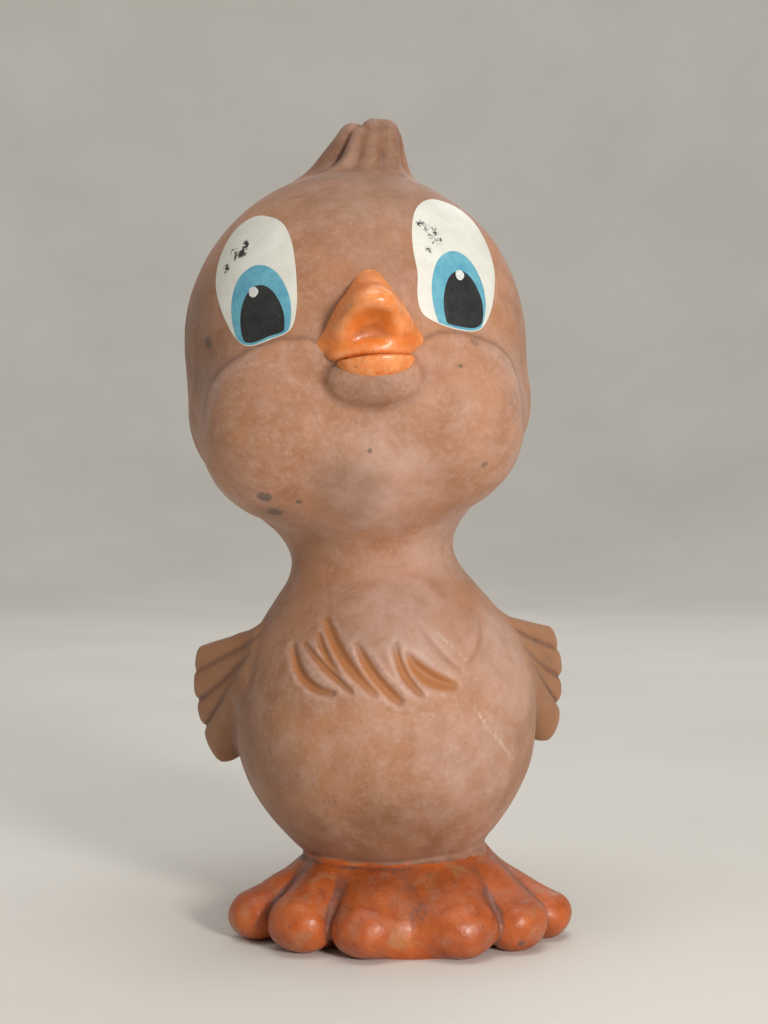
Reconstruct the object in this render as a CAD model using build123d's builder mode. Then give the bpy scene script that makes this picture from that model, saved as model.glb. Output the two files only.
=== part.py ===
from build123d import *
import math
import os

# A hollow squeeze toy: a standing chick of moulded rubber with painted eyes, beak and feet, and a reed
# squeaker let into its sole. Millimetres, +Z up, the chick faces -Y and its own left is +X.
# The origin is on the floor, under the middle of the whole toy.
#
# The feet and the squeaker are drawn where they stand. Everything above the ankle is drawn upright in
# the figure's own frame, with its origin at the middle of the ankle, and then leaned over as one.

# ---- driving dimensions ----
WALL = 2.5                # rubber thickness of the moulding
LEAN = 4.6                # degrees that the figure leans over, towards its own right
ANKLE = Vector(3.0, 5.85, 14.4)   # middle of the ankle crease, in the toy's frame
ANKLE_R = 20.3

# heights above the ankle, along the figure's own axis
HEAD_S = 115.5
HEAD_R = 37.9
JOWL_S = 103.0            # ring of fullness that widens the lower head
JOWL_X = 14.0
JOWL_R = 24.3
NECK_S = 67.7
NECK_R = 18.0
BELLY_S = 31.5
BELLY_R = 33.5

# ---- values that follow ----
# The neck is one hollow arc that touches the jowl's round and the belly's round.
NECK_ARC_R = ((NECK_R - JOWL_X) ** 2 + (JOWL_S - NECK_S) ** 2 - JOWL_R**2) / (
    2 * (JOWL_R - NECK_R + JOWL_X)
)
NECK_ARC_X = NECK_R + NECK_ARC_R

lean = math.radians(LEAN)
figure = Plane(
    origin=ANKLE,
    x_dir=(math.cos(lean), 0, math.sin(lean)),
    z_dir=(-math.sin(lean), 0, math.cos(lean)),
)
head_centre = Location((0, 0, HEAD_S))
on_end = (Align.CENTER, Align.CENTER, Align.MIN)   # stands round solids on their own end

os.makedirs("parts", exist_ok=True)


def save(piece, name):
    """Writes a piece that is drawn where it stands."""
    piece.label = name
    export_step(piece, f"parts/{name}.step")


def save_leaned(piece, name):
    """Leans a piece that is drawn in the figure's frame, and writes it."""
    save(figure.location * piece, name)


def taper(start, end, start_r, end_r, mode=Mode.ADD):
    """Puts a round-ended finger into the part being built."""
    start = Vector(start)
    end = Vector(end)
    length = (end - start).length
    with Locations(Plane(origin=start, z_dir=end - start).location):
        Cone(start_r, end_r, length, align=on_end, mode=mode)
    with Locations(start):
        Sphere(start_r, mode=mode)
    with Locations(end):
        Sphere(end_r, mode=mode)


def figure_body(inset):
    """Head, jowl, neck, belly and ankle as one round solid, drawn in all over by inset."""
    with BuildPart() as body:
        with BuildSketch(Plane.XZ) as profile:
            with BuildLine():
                Polyline((0, BELLY_S), (NECK_ARC_X, NECK_S), (JOWL_X, JOWL_S), (0, JOWL_S), close=True)
            make_face()
            with Locations((NECK_ARC_X, NECK_S)):
                Circle(NECK_ARC_R + inset, mode=Mode.SUBTRACT)
            with Locations((0, HEAD_S)):
                Circle(HEAD_R - inset)
            with Locations((JOWL_X, JOWL_S)):
                Circle(JOWL_R - inset)
            with Locations((0, BELLY_S)):
                Circle(BELLY_R - inset)
            Rectangle(ANKLE_R - inset, BELLY_S, align=(Align.MIN, Align.MIN))
            Rectangle(2 * HEAD_R, 2 * HEAD_S, align=(Align.MIN, Align.MIN), mode=Mode.INTERSECT)
        revolve(axis=Axis.Z)
    return body.part


outer_form = figure_body(0)
cavity = figure_body(WALL)

# ---- front of the rubber figure: face with cheeks and chin, chest, and the rim around the belly ----
CHEEK_AT = (19.5, -19.0, HEAD_S - 16.5)   # the other cheek mirrors it
CHEEK_R = 15.0
CHIN_AT = (0.5, -32.5, HEAD_S - 12.0)
CHIN_R = 8.0
PANEL_R = 22.0            # the part of the belly that gives under a thumb
PANEL_GAP = 0.15          # on each side of the cut around it

with BuildPart() as face_form:
    add(outer_form)
    with Locations(CHEEK_AT, (-CHEEK_AT[0], CHEEK_AT[1], CHEEK_AT[2])):
        Sphere(CHEEK_R)
    with Locations(CHIN_AT):
        Sphere(CHIN_R)

with BuildPart() as front_shell:
    add(face_form.part)
    add(cavity, mode=Mode.SUBTRACT)
    split(bisect_by=Plane.XZ, keep=Keep.TOP)
    with BuildSketch(Plane.XZ):
        with Locations((0, BELLY_S)):
            Circle(PANEL_R + PANEL_GAP)
    extrude(amount=2 * BELLY_R, mode=Mode.SUBTRACT)

save_leaned(front_shell.part, "front_shell")

# ---- belly: the round of wall that a thumb pushes in ----
with BuildPart() as belly_panel:
    with BuildSketch(Plane.XZ):
        with Locations((0, BELLY_S)):
            Circle(PANEL_R - PANEL_GAP)
    extrude(amount=2 * BELLY_R)
    with Locations((0, 0, BELLY_S)):
        Sphere(BELLY_R, mode=Mode.INTERSECT)
        Sphere(BELLY_R - WALL, mode=Mode.SUBTRACT)

save_leaned(belly_panel.part, "belly_panel")

# ---- back of the rubber figure, with a small tail ----
TAIL_ROOT = (0, 25.0, 22.0)
TAIL_TIP = (0, 33.5, 28.0)

with BuildPart() as back_shell:
    add(outer_form)
    taper(TAIL_ROOT, TAIL_TIP, 9.0, 4.5)
    add(cavity, mode=Mode.SUBTRACT)
    split(bisect_by=Plane.XZ, keep=Keep.BOTTOM)

save_leaned(back_shell.part, "back_shell")

# ---- crest: three feathers swept towards the chick's left ----
CREST_FEATHERS = (        # root, tip, root radius, tip radius
    ((3.0, 0.0, HEAD_S + 33.0), (9.5, 0.5, HEAD_S + 44.8), 9.0, 5.2),
    ((-2.5, 1.5, HEAD_S + 32.0), (2.5, 1.5, HEAD_S + 45.4), 6.5, 3.8),
    ((8.0, 2.0, HEAD_S + 32.0), (11.5, 2.0, HEAD_S + 42.0), 7.0, 4.5),
)

with BuildPart() as crest:
    for root, tip, root_r, tip_r in CREST_FEATHERS:
        taper(root, tip, root_r, tip_r)
    add(outer_form, mode=Mode.SUBTRACT)

save_leaned(crest.part, "crest")

# ---- wings: a fan of flat feathers at each side, a little behind the middle ----
WING_ROOT = Vector(26.0, 42.0)
WING_TIPS = ((38.5, 45.0), (40.3, 38.5), (40.0, 31.5), (36.0, 25.5))
WING_FEATHER_R = 3.8
WING_Y = 11.0             # middle of the wing's thickness
WING_THICKNESS = 6.0


def wing(side):
    with BuildPart() as fan:
        with BuildSketch(Plane.XZ.offset(-WING_Y)):
            for tip_x, tip_s in WING_TIPS:
                tip = Vector(tip_x, tip_s)
                feather = tip - WING_ROOT
                middle = (tip + WING_ROOT) / 2
                angle = math.degrees(math.atan2(feather.Y, feather.X))
                with Locations(Location((middle.X, middle.Y), angle)):
                    SlotCenterToCenter(feather.length, 2 * WING_FEATHER_R)
        extrude(amount=WING_THICKNESS / 2, both=True)
        if side < 0:
            mirror(about=Plane.YZ, mode=Mode.REPLACE)
        add(outer_form, mode=Mode.SUBTRACT)
    return fan.part


save_leaned(wing(+1), "left_wing")
save_leaned(wing(-1), "right_wing")

# ---- beak: a hooded upper half with a hollow palate, and a short lower half ----
BEAK_CORNERS = ((-14.0, HEAD_S - 6.5), (14.0, HEAD_S - 6.5), (0.0, HEAD_S + 14.0))
BEAK_CORNER_R = 3.0
BEAK_ROOT_Y = -36.5
BEAK_TIP_Y = -43.5
BEAK_TIP_R = 6.5
BEAK_TIP_S = HEAD_S + 1.0
MOUTH_S = HEAD_S - 6.5
PALATE_AT = (0.5, -46.0, HEAD_S - 6.0)
PALATE_R = 6.5
TONGUE_Y = -36.0
LOWER_BEAK = 4.5          # height of the lower half

with BuildPart() as upper_beak:
    with BuildSketch(Plane.XZ.offset(-BEAK_ROOT_Y)) as beak_root:
        with BuildLine():
            Polyline(*BEAK_CORNERS, close=True)
        make_face()
        fillet(vertices(), BEAK_CORNER_R)
    with BuildSketch(Plane.XZ.offset(-BEAK_TIP_Y)):
        with Locations((0, BEAK_TIP_S)):
            Circle(BEAK_TIP_R)
    loft()
    extrude(beak_root.sketch, amount=BEAK_ROOT_Y / 4)
    with Locations((0, BEAK_TIP_Y, BEAK_TIP_S)):
        Sphere(BEAK_TIP_R)
    with Locations(PALATE_AT):
        Sphere(PALATE_R, mode=Mode.SUBTRACT)
    add(face_form.part, mode=Mode.SUBTRACT)

with BuildPart() as lower_beak:
    with BuildSketch(Plane.XY.offset(MOUTH_S - LOWER_BEAK)):
        with Locations((0.7, TONGUE_Y)):
            Ellipse(7.2, 9.0)
    extrude(amount=LOWER_BEAK)
    fillet(edges().group_by(Axis.Z)[0], 1.8)
    add(face_form.part, mode=Mode.SUBTRACT)
    add(upper_beak.part, mode=Mode.SUBTRACT)

save_leaned(upper_beak.part, "upper_beak")
save_leaned(lower_beak.part, "lower_beak")

# ---- painted eyes: films of paint one on another, on the round of the head ----
EYE_OUTLINE = (           # distance from the face's middle, height above the head's centre
    (17.5, 27.2),
    (12.8, 20.0),
    (12.3, 8.0),
    (14.5, -1.2),
    (22.0, -2.3),
    (27.5, 3.0),
    (29.6, 13.0),
    (26.6, 22.5),
)
EYE_COLOURS = (           # name, centre, half-width, half-height
    ("iris", (20.1, 5.5), 5.8, 9.3),
    ("pupil", (20.3, 3.7), 4.3, 6.5),
    ("glint", (21.1, 8.7), 1.1, 1.1),
)
FILM = 0.2                # thickness of one coat


def eye_outline(side, mode=Mode.ADD):
    """Puts the outline of an eye's white into the sketch being drawn."""
    with BuildLine() as outline:
        Spline(*[(side * x, HEAD_S + z) for x, z in EYE_OUTLINE], periodic=True)
    make_face(outline.edges(), mode=mode)


def coat(colour, layer):
    """A colour's outline, carried onto the head as the coat of that number."""
    with BuildPart() as film:
        extrude(colour, amount=2 * HEAD_R)
        with Locations(head_centre):
            Sphere(HEAD_R + (layer + 1) * FILM, mode=Mode.INTERSECT)
            Sphere(HEAD_R + layer * FILM, mode=Mode.SUBTRACT)
    return film.part


for side, side_name in ((+1, "left"), (-1, "right")):
    with BuildSketch(Plane.XZ) as white:
        eye_outline(side)
    save_leaned(coat(white.sketch, 0), f"{side_name}_eye_white")
    for layer, (colour, (x, z), half_width, half_height) in enumerate(EYE_COLOURS, start=1):
        with BuildSketch(Plane.XZ) as round_colour:
            with Locations((side * x, HEAD_S + z)):
                Ellipse(half_width, half_height)
            eye_outline(side, mode=Mode.INTERSECT)
        save_leaned(coat(round_colour.sketch, layer), f"{side_name}_{colour}")

# ---- feet: one block with six toes, hollow above a flat sole ----
SOLE = 3.0
COLLAR_R = 11.5           # thick ring of rubber that grips the squeaker
COLLAR_TOP = 8.0
CUP_R = 7.5
HEEL_R = 25.0
WEB_Y = -6.0              # flat of the feet between heel and toes, from the ankle's middle
WEB_HALF_WIDTH = 31.0
WEB_HALF_DEPTH = 22.0
WEB_HEIGHT = 9.0
TOES = (                  # tip of each toe from the ankle's middle, and its radius
    (-31.0, -11.5, 5.9),
    (-22.0, -20.5, 6.9),
    (-9.0, -26.0, 7.6),
    (10.5, -27.6, 7.8),
    (23.5, -22.5, 7.0),
    (31.0, -13.5, 5.9),
)

with BuildPart() as feet:
    with Locations((ANKLE.X, ANKLE.Y, 0)):
        Cone(HEEL_R, ANKLE_R, ANKLE.Z + 3, align=on_end)
    with BuildSketch():
        with Locations((ANKLE.X, ANKLE.Y + WEB_Y)):
            Ellipse(WEB_HALF_WIDTH, WEB_HALF_DEPTH)
    extrude(amount=WEB_HEIGHT, taper=15)
    for toe_x, toe_y, toe_r in TOES:
        root = (ANKLE.X + 0.45 * toe_x, ANKLE.Y + 0.35 * toe_y, 0.75 * toe_r)
        tip = (ANKLE.X + toe_x, ANKLE.Y + toe_y, 0.75 * toe_r)
        taper(root, tip, 0.9 * toe_r, toe_r)
    split(bisect_by=Plane.XY, keep=Keep.TOP)
    split(bisect_by=figure, keep=Keep.BOTTOM)
    with Locations((ANKLE.X, ANKLE.Y, SOLE)):
        Cylinder(ANKLE_R - WALL, ANKLE.Z + 3, align=on_end, mode=Mode.SUBTRACT)
    with Locations((ANKLE.X, ANKLE.Y, 0)):
        Cylinder(COLLAR_R, COLLAR_TOP, align=on_end)
        Cylinder(CUP_R, COLLAR_TOP, align=on_end, mode=Mode.SUBTRACT)

save(feet.part, "feet")

# ---- squeaker: a drawn cup in the collar, with a reed on a half-round holder under a pierced cover ----
SHEET = 0.6               # aluminium sheet
CUP_FLOOR = 1.0           # height of the cup's underside, just inside the sole
FLANGE_R = 9.5
AIR_HOLE_R = 1.5
HOLDER_R = 2.8
HOLDER_TOP = 7.6
REED_SEAT_Y = -0.8        # flat front of the holder, from the squeaker's axis
REED_GAP = 0.45
REED_FOOT = 3.8           # height at which the reed leaves its wedge
COVER_HOLES = 6

squeaker_axis = Plane(origin=(ANKLE.X, ANKLE.Y, 0))

with BuildPart() as squeaker_cup:
    with Locations((0, 0, CUP_FLOOR)):
        Cylinder(CUP_R, COLLAR_TOP - CUP_FLOOR, align=on_end)
    with Locations((0, 0, COLLAR_TOP)):
        Cylinder(FLANGE_R, SHEET, align=on_end)
    with Locations((0, 0, CUP_FLOOR + SHEET)):
        Cylinder(CUP_R - SHEET, COLLAR_TOP, align=on_end, mode=Mode.SUBTRACT)
    Cylinder(AIR_HOLE_R, COLLAR_TOP, align=on_end, mode=Mode.SUBTRACT)

with BuildPart() as reed_holder:
    with Locations((0, 0, CUP_FLOOR + SHEET)):
        Cylinder(CUP_R - SHEET, 2 * SHEET, align=on_end)
        Cylinder(HOLDER_R, HOLDER_TOP - CUP_FLOOR - SHEET, align=on_end)
    with BuildSketch(Plane.XY.offset(CUP_FLOOR + 3 * SHEET)):
        with Locations((0, REED_SEAT_Y)):
            Rectangle(2 * CUP_R, CUP_R, align=(Align.CENTER, Align.MAX))
    extrude(amount=HOLDER_TOP, mode=Mode.SUBTRACT)
    Cylinder(AIR_HOLE_R, HOLDER_TOP - SHEET, align=on_end, mode=Mode.SUBTRACT)

with BuildPart() as reed_wedge:
    with BuildSketch(Plane.XY.offset(CUP_FLOOR + 3 * SHEET)):
        with Locations((0, REED_SEAT_Y)):
            Rectangle(2 * HOLDER_R, 2.2, align=(Align.CENTER, Align.MAX))
        Circle(AIR_HOLE_R, mode=Mode.SUBTRACT)
    extrude(amount=REED_FOOT - CUP_FLOOR - 3 * SHEET)

with BuildPart() as reed:
    with BuildSketch(Plane.XY.offset(REED_FOOT + 0.1)):
        with Locations((0, REED_SEAT_Y - REED_GAP)):
            Rectangle(2 * HOLDER_R - 1.2, 0.3, align=(Align.CENTER, Align.MAX))
    extrude(amount=HOLDER_TOP - REED_FOOT - 0.3)

with BuildPart() as squeaker_cover:
    with Locations((0, 0, COLLAR_TOP + SHEET)):
        Cylinder(FLANGE_R, SHEET, align=on_end)
    with BuildSketch(Plane.XY.offset(COLLAR_TOP)):
        with PolarLocations(4.5, COVER_HOLES):
            Circle(0.9)
    extrude(amount=3 * SHEET, mode=Mode.SUBTRACT)

for name, piece in (
    ("squeaker_cup", squeaker_cup),
    ("reed_holder", reed_holder),
    ("reed_wedge", reed_wedge),
    ("reed", reed),
    ("squeaker_cover", squeaker_cover),
):
    save(squeaker_axis.location * piece.part, name)
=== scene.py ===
import math

import bmesh
import bpy
import numpy as np
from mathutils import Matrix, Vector


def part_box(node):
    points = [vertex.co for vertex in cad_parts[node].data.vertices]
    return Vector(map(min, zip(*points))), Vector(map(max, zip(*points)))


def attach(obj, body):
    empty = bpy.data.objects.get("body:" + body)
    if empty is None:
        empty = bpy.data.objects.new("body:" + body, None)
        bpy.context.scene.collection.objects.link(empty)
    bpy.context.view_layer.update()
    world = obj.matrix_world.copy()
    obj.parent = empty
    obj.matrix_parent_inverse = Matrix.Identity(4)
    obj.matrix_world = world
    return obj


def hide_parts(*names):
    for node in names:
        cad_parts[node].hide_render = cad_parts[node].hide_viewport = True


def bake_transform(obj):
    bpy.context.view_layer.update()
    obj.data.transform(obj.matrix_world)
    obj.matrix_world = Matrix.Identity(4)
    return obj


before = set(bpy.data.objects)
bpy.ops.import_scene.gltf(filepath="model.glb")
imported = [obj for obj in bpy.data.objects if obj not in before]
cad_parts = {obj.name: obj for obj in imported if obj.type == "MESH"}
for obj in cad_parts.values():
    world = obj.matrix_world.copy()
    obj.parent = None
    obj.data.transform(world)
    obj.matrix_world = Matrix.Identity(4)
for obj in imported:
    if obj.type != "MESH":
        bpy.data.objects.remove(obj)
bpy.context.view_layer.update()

# A hollow rubber squeeze toy, a standing chick. Its rubber is modelled as one smooth form, written as a
# field that is negative inside the rubber, meshed, and then divided along the same planes as the packed
# nodes. Lengths are in millimetres until a mesh is made, which is in metres.

MM = 0.001
FINE = 0.6                # grid of the rubber's outside
FINER = 0.45              # grid of the feet and the beak
COARSE = 1.6              # grid of the rubber's inside

# ---- the figure's own frame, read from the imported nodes: x to the chick's left, y back, s up ----
cup_low, cup_high = (np.array(corner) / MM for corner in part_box("squeaker_cup"))
panel_low, panel_high = (np.array(corner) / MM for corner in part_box("belly_panel"))
BELLY_S = 31.5            # height of the belly's middle above the ankle
belly_middle = (panel_low + panel_high) / 2
axis_x, axis_y = (cup_low + cup_high)[:2] / 2
lean = math.asin((axis_x - belly_middle[0]) / BELLY_S)
ANKLE = np.array([axis_x, axis_y, belly_middle[2] - BELLY_S * math.cos(lean)])
FIGURE = np.array([
    [math.cos(lean), 0, math.sin(lean)],
    [0, 1, 0],
    [-math.sin(lean), 0, math.cos(lean)],
])
UP = np.array([0, 0, 1.0])
HEAD_S = 115.5            # height of the head's centre above the ankle
HEAD = np.array([0, 0, HEAD_S])
HEAD_R = 37.9
WALL = 2.5


def to_figure(points):
    return (points - ANKLE) @ FIGURE.T


def to_world(points):
    return np.asarray(points, float) @ FIGURE + ANKLE


# ---- shapes of a field ----
def join(a, b, k):
    """The union of two fields, rounded over about k."""
    h = np.clip(0.5 + 0.5 * (b - a) / k, 0, 1)
    return b + (a - b) * h - k * h * (1 - h)


def cut(a, b, k):
    """The first field less the second, rounded over about k."""
    return -join(-a, b, k)


def ball(p, centre, radius):
    return np.linalg.norm(p - np.array(centre, float), axis=1) - radius


def egg(p, centre, radii):
    radii = np.array(radii, float)
    q = (p - np.array(centre, float)) / radii
    reach = np.linalg.norm(q, axis=1)
    slope = np.linalg.norm(q / radii, axis=1) + 1e-9
    return reach * (reach - 1) / slope


def finger(p, start, end, start_r, end_r, flat=(1, 1, 1), power=2):
    """A round-ended taper, thinner along an axis where flat is over 1, and boxier where power is over 2."""
    flat = np.array(flat, float)
    start = np.array(start, float)
    way = (np.array(end, float) - start) * flat
    q = (p - start) * flat
    along = np.clip(q @ way / (way @ way), 0, 1)
    away = (np.abs(q - along[:, None] * way) ** power).sum(1) ** (1 / power)
    return (away - start_r - (end_r - start_r) * along) / math.sqrt(flat.max())


def ease(x, low, high):
    """0 below low, 1 above high, and smooth between them."""
    t = np.clip((x - low) / (high - low), 0, 1)
    return t * t * (3 - 2 * t)


def curve_radius(s, knots):
    """A smooth radius through knots of height and radius."""
    heights, radii = np.array(knots, float).T
    slopes = np.gradient(radii, heights)
    i = np.clip(np.searchsorted(heights, s) - 1, 0, len(heights) - 2)
    gap = heights[i + 1] - heights[i]
    t = np.clip((s - heights[i]) / gap, 0, 1)
    bend = t * t * (3 - 2 * t)
    rise = gap * (slopes[i] * t * (1 - t) ** 2 - slopes[i + 1] * t * t * (1 - t))
    return radii[i] * (1 - bend) + radii[i + 1] * bend + rise


# ---- the rubber's outside, in the figure's frame ----
TRUNK = (                 # height above the ankle, radius
    (-6, 17.2),
    (0, 18.5),
    (3, 19.9),
    (7, 23.3),
    (12.7, 27.6),
    (18.5, 30.8),
    (25, 32.8),
    (32, 33.6),
    (39, 33.0),
    (46, 31.0),
    (53, 27.4),
    (60, 22.4),
    (65, 18.9),
    (69, 18.0),
    (74, 19.8),
    (81, 26.5),
    (88, 33.2),
    (94, 36.6),
    (101, 38.0),
    (107, 37.4),
    (114, 35.6),
    (122, 31.0),
)
CHEEKS = ((-19.5, -19.5, -18.5), (17.0, -19.5, -18.5))      # from the head's centre
CHEEK_SIZE = (16.0, 18.8, 19.0)
MUZZLE = (-0.6, -16.5, -22.5)
MUZZLE_SIZE = (19.0, 21.0, 19.0)
MUZZLE_RIM = (            # the cheeks' crease: distance to the left and height from the head's centre
    (-34.0, -34.0),
    (-36.2, -26.0),
    (-35.8, -19.0),
    (-34.7, -13.8),
    (-32.7, -8.7),
    (-30.5, -6.3),
    (-27.4, -4.2),
    (-23.5, -2.5),
    (-17.8, -1.3),
    (-12.6, -1.8),
    (-8.0, -4.0),
    (8.5, -4.2),
    (11.9, -3.2),
    (14.7, -2.4),
    (18.9, -2.5),
    (23.4, -3.9),
    (27.2, -5.4),
    (29.9, -8.0),
    (31.2, -12.8),
    (31.8, -19.0),
    (31.0, -28.0),
    (28.0, -36.0),
)
MUZZLE_RISE = 1.5
CHIN_LIP = (0.2, -35.9, -10.9)
CHIN_LIP_SIZE = (8.8, 5.8, 4.7)
CREST = (                 # root and tip from the head's centre, radius at each
    ((-6.0, 2.0, 34.6), (3.2, 2.0, 46.4), 4.3, 3.5),
    ((-0.8, -5.5, 35.0), (4.8, -2.5, 45.4), 2.5, 2.5),
    ((4.8, -7.0, 34.6), (7.6, -2.0, 46.6), 2.6, 3.1),
    ((9.8, -6.2, 34.6), (10.2, -1.4, 46.3), 2.7, 3.2),
    ((12.2, 0.0, 34.0), (11.4, 0.8, 45.4), 3.3, 2.6),
    ((6.0, 5.0, 33.0), (8.0, 2.6, 45.2), 5.4, 3.7),
)
WING_FEATHERS = (         # root and tip on the left side, radius at each
    ((25.5, -4.0, 49.5), (39.0, 7.6, 45.2), 3.2, 3.1),
    ((25.5, -6.0, 46.0), (39.8, 8.4, 39.6), 4.0, 3.4),
    ((26.0, -7.0, 43.5), (38.7, 8.4, 33.6), 4.2, 3.5),
    ((27.5, -7.5, 41.5), (36.6, 7.4, 26.6), 4.6, 4.7),
)
WING_DROP = 2.2           # how much lower the left wing sits
TAIL = ((0, 26, 21), (0, 35, 28), 8.5, 3.6)
WING_MIDDLE = (11.0, 37.9)
WING_REACH = 31.3         # where the feathers' ends are cut off blunt, from the wing's middle
TUFT = (                  # carved strokes: top, bend and end, distance to the left and height, half width
    ((-19.6, 51.3), (-19.9, 42.7), (-12.8, 41.7), 1.0),
    ((-17.2, 51.4), (-13.4, 45.7), (-9.2, 42.1), 0.9),
    ((-14.2, 53.4), (-14.0, 49.0), (-11.2, 45.8), 0.9),
    ((-12.4, 56.2), (-11.1, 47.6), (-4.3, 41.3), 1.3),
    ((-6.8, 51.0), (-5.3, 44.8), (0.4, 39.3), 1.25),
    ((1.0, 50.6), (0.8, 44.5), (4.8, 40.6), 1.05),
    ((3.1, 48.5), (5.0, 43.0), (11.8, 41.1), 1.5),
)
TUFT_DEEP = 1.3
FAINT_DEEP = 0.4
FAINT_TUFT = (
    ((6.2, 54.2), (9.0, 48.3), (14.6, 43.3), 0.8),
    ((20.1, 54.6), (20.8, 48.5), (16.0, 45.0), 0.9),
    ((-2.6, 50.0), (-1.6, 46.5), (0.6, 43.5), 0.8),
)


def stroke_distance(x, s, stroke):
    """Distance to a bent stroke drawn on the chest, and how far along it a point lies."""
    top, bend, end = (np.array(point, float) for point in stroke)
    steps = np.linspace(0, 1, 13)[:, None]
    line = (1 - steps) ** 2 * top + 2 * steps * (1 - steps) * bend + steps**2 * end
    nearest = np.full(len(x), np.inf)
    place = np.zeros(len(x))
    for i in range(len(line) - 1):
        way = line[i + 1] - line[i]
        t = np.clip(((x - line[i][0]) * way[0] + (s - line[i][1]) * way[1]) / (way @ way), 0, 1)
        away = np.hypot(x - line[i][0] - t * way[0], s - line[i][1] - t * way[1])
        closer = away < nearest
        nearest = np.where(closer, away, nearest)
        place = np.where(closer, (i + t) / (len(line) - 1), place)
    return nearest, place


def tuft_depth(q):
    """How deep the chest feathers are carved at each point."""
    depth = np.zeros(len(q))
    chest = np.flatnonzero((q[:, 1] < -10) & (q[:, 2] > 34) & (q[:, 2] < 62))
    if len(chest) == 0:
        return depth
    x, s = q[chest, 0], q[chest, 2]
    carved = np.zeros(len(chest))
    for strokes, deep in ((TUFT, TUFT_DEEP), (FAINT_TUFT, FAINT_DEEP)):
        for top, bend, end, half in strokes:
            away, place = stroke_distance(x, s, (top, bend, end))
            swell = np.sin(np.pi * np.clip(0.06 + 0.84 * place, 0, 1)) ** 0.7
            groove = deep * half * swell * np.exp(-((away / (half * (0.5 + 0.6 * swell))) ** 2))
            carved = np.hypot(carved, groove)
    lobes = np.exp(-(((x + 5) / 13) ** 4) - ((s - 46.5) / 5.5) ** 4)
    depth[chest] = carved - 0.35 * lobes
    return depth


def inside_muzzle(q):
    """How far inside the muzzle's rim a point of the face lies, seen from the front; negative outside."""
    x, z = q[:, 0], q[:, 2] - HEAD_S
    rim = np.array(MUZZLE_RIM)
    nearest = np.full(len(q), np.inf)
    crossings = np.zeros(len(q), int)
    for a, b in zip(rim, np.roll(rim, -1, axis=0)):
        way = b - a
        t = np.clip(((x - a[0]) * way[0] + (z - a[1]) * way[1]) / (way @ way), 0, 1)
        nearest = np.minimum(nearest, np.hypot(x - a[0] - t * way[0], z - a[1] - t * way[1]))
        spans = (a[1] > z) != (b[1] > z)
        meets = a[0] + (z - a[1]) * way[0] / (way[1] if way[1] else 1)
        crossings += spans & (x < meets)
    return np.where(crossings % 2 == 1, nearest, -nearest)


def muzzle_rise(q):
    """How far the muzzle and the cheeks stand out from the face, stepping up at their rim."""
    rise = np.zeros(len(q))
    face = np.flatnonzero((q[:, 1] < -6) & (q[:, 2] > HEAD_S - 40) & (q[:, 2] < HEAD_S + 3))
    if len(face):
        depth = inside_muzzle(q[face])
        step = 0.5 * (depth + np.sqrt(depth**2 + 0.15))
        fade = ease(q[face, 2] - HEAD_S, -36, -18) * ease(-q[face, 1], 12, 22)
        rise[face] = MUZZLE_RISE * (1 - np.exp(-step / 1.6)) * fade
    return rise


def trunk_field(q, inset=0.0):
    s = q[:, 2]
    low, top = TRUNK[0][0], TRUNK[-1][0]
    radius = curve_radius(np.clip(s, low, top), TRUNK) - inset
    slope = (curve_radius(np.clip(s + 0.5, low, top), TRUNK) - radius - inset) / 0.5
    flatter = 1 + 0.07 * ease(s, 82, 96) * ease(-q[:, 1], -6, 12)
    around = (np.hypot(q[:, 0], q[:, 1] * flatter) - radius) / np.sqrt(1 + slope**2)
    return np.maximum(around, s - top)


def crest_field(h):
    crest = np.full(len(h), 1e3)
    for root, tip, root_r, tip_r in CREST:
        crest = join(crest, finger(h, root, tip, root_r, tip_r), 0.8)
    return crest


def wing_field(q):
    mirrored = np.stack([np.abs(q[:, 0]), q[:, 1], q[:, 2] + WING_DROP * (q[:, 0] > 0) - WING_DROP], 1)
    wing = np.full(len(q), 1e3)
    for root, tip, root_r, tip_r in WING_FEATHERS:
        wing = join(wing, finger(mirrored, root, tip, root_r, tip_r, flat=(1, 1.4, 1), power=2.2), 0.5)
    away = np.hypot(mirrored[:, 0] - WING_MIDDLE[0], mirrored[:, 2] - WING_MIDDLE[1])
    return cut(wing, WING_REACH - away, 0.9)


def rubber_field(p):
    """The whole outside above the feet."""
    q = to_figure(p)
    h = q - HEAD
    cheeks = join(egg(h, CHEEKS[0], CHEEK_SIZE), egg(h, CHEEKS[1], CHEEK_SIZE), 6.0)
    cheeks = join(cheeks, egg(h, MUZZLE, MUZZLE_SIZE), 8.0)
    field = join(trunk_field(q), ball(q, HEAD, HEAD_R), 2.0)
    field = join(field, cheeks, 4.5 + 4 * (1 - ease(h[:, 2], -38, -22)))
    field = join(field, egg(h, CHIN_LIP, CHIN_LIP_SIZE), 1.0)
    field = join(field, crest_field(h), 4.5)
    field = join(field, wing_field(q), 2.0)
    field = join(field, finger(q, *TAIL), 5.0)
    x, y, s = q.T
    uneven = np.sin(x / 7 + 1) * np.sin(y / 6 + s / 19) * np.sin(s / 8.5 + 2)
    uneven += 0.5 * np.sin(x / 3.7 + s / 9) * np.sin(y / 4.1 + 1) * np.sin(s / 4.6)
    beside_wing = ease(s, 15, 20) * (1 - ease(s, 50, 54))
    flash = np.exp(-((y / 0.55) ** 2)) * ease(np.abs(x), 6, 16) * (1 - beside_wing)
    return field + tuft_depth(q) - muzzle_rise(q) + 0.22 * uneven - 0.2 * flash


def hollow_field(p):
    """The air inside, above the feet."""
    q = to_figure(p)
    return join(trunk_field(q, WALL), ball(q, HEAD, HEAD_R - WALL), 2.0)


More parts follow.
